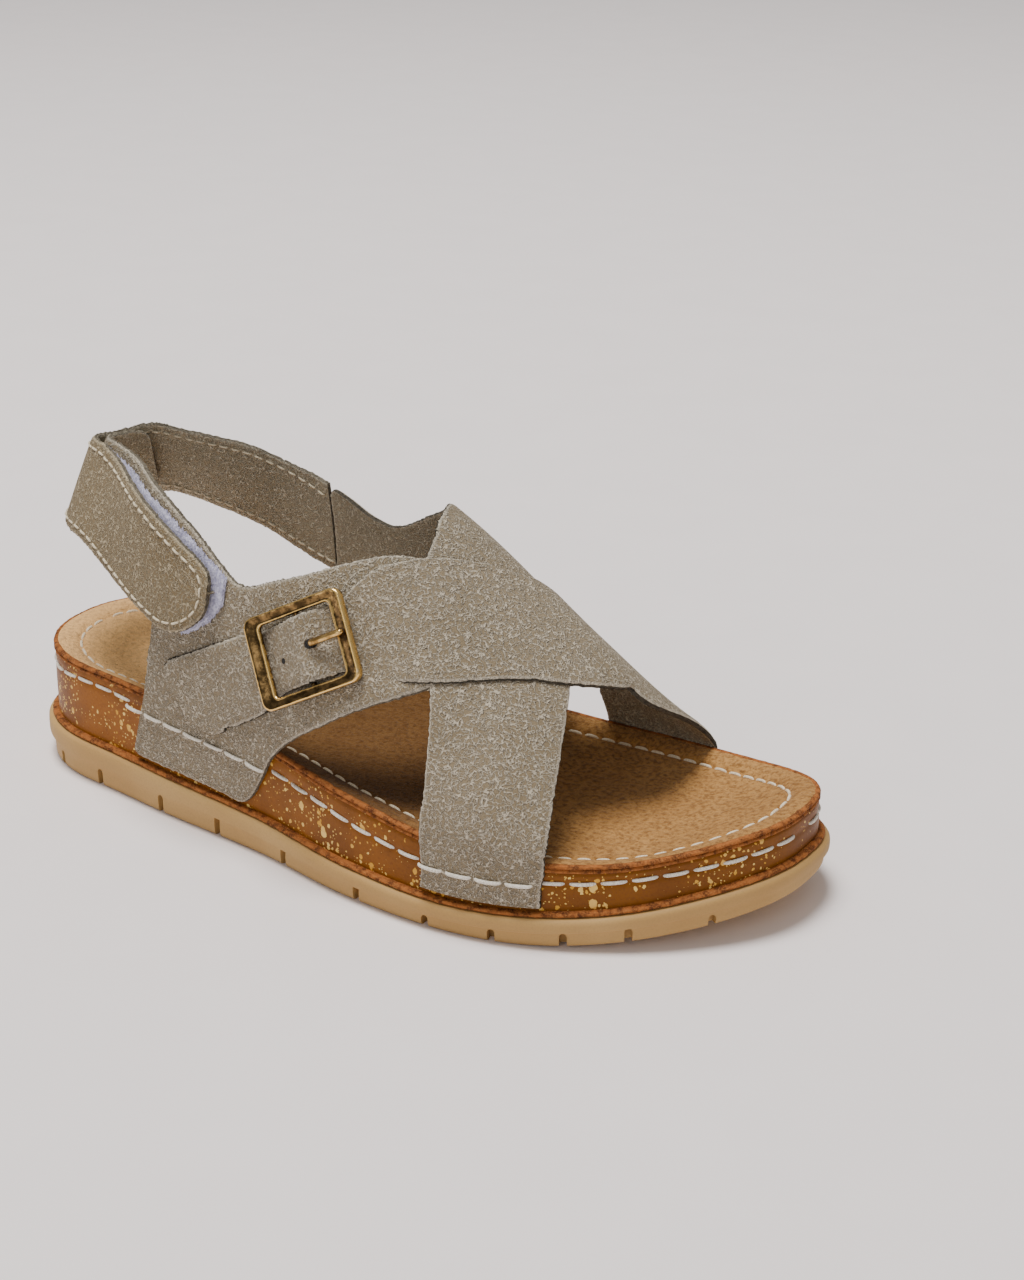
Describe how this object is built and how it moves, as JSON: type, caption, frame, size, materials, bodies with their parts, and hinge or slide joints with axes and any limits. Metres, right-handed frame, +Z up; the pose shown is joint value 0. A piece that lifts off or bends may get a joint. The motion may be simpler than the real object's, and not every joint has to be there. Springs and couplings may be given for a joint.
{
  "type": "cross strap sandal",
  "caption": "Flat footbed sandal with two wide straps crossing over the foot, a pin buckle on the outer side and a heel strap closed with hook and loop tape",
  "frame": {"origin": "middle of the outsole's box on the floor", "axes": "+X to the toe, +Y to the inner (medial) side, +Z up"},
  "size_m": [0.2574, 0.1034, 0.1051],
  "materials": {
    "outsole": "matte tan rubber",
    "midsole": "orange-brown wrap with pale flecks",
    "insole": "napped suede",
    "upper": "grey-taupe nubuck with a fine grain",
    "slingback": "grey-taupe nubuck",
    "loop_tape": "pale lavender loop pile",
    "hook_tape": "pale lavender hook tape",
    "buckle": "worn antique brass"
  },
  "bodies": {
    "root": {"outsole": "outsole", "midsole": "midsole", "insole": "insole", "upper": "upper", "slingback": "slingback", "loop_tape": "loop_tape", "hook_tape": "hook_tape", "buckle_frame": "buckle", "buckle_prong": "buckle"}
  },
  "joints": []
}
